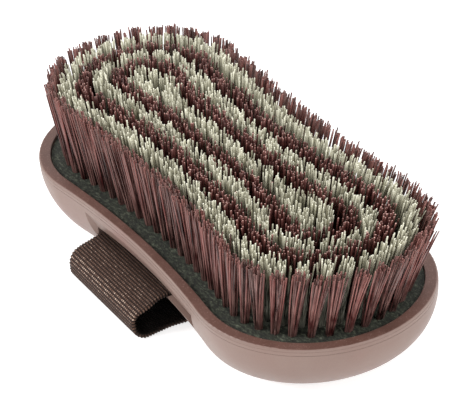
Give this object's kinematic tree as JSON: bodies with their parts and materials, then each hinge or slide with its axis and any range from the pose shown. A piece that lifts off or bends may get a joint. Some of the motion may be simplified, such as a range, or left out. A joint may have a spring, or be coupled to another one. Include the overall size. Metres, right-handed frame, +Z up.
{
  "type": "horse body brush",
  "caption": "Waisted horse body brush with rows of brown and sage bristles, a domed brown plastic back and a ribbed webbing hand strap.",
  "frame": {"origin": "on the resting plane, on the underside of the strap, below the middle of the brush", "axes": "+X along the brush, +Z up out of the bristles, the slack of the strap on the -Y side"},
  "size_m": [0.1833, 0.0837, 0.05],
  "materials": {
    "back_plastic": "satin",
    "rim_plastic": "fine mould texture",
    "board_plastic": "rough",
    "brown_filament": "fine filament",
    "sage_filament": "fine filament",
    "webbing": "ribbed weave",
    "steel": "zinc plated"
  },
  "bodies": {
    "root": {"back_shell": "back_plastic", "rim_frame": "rim_plastic", "bristle_board": "board_plastic", "hand_strap": "webbing", "strap_clamp_near": "steel", "strap_clamp_far": "steel", "strap_screws": "steel", "brown_row_1_outer": "brown_filament", "brown_row_1_outer_anchors": "steel", "sage_row_2": "sage_filament", "sage_row_2_anchors": "steel", "brown_row_3": "brown_filament", "brown_row_3_anchors": "steel", "sage_row_4": "sage_filament", "sage_row_4_anchors": "steel", "brown_row_5": "brown_filament", "brown_row_5_anchors": "steel", "sage_core": "sage_filament", "sage_core_anchors": "steel"}
  },
  "joints": []
}
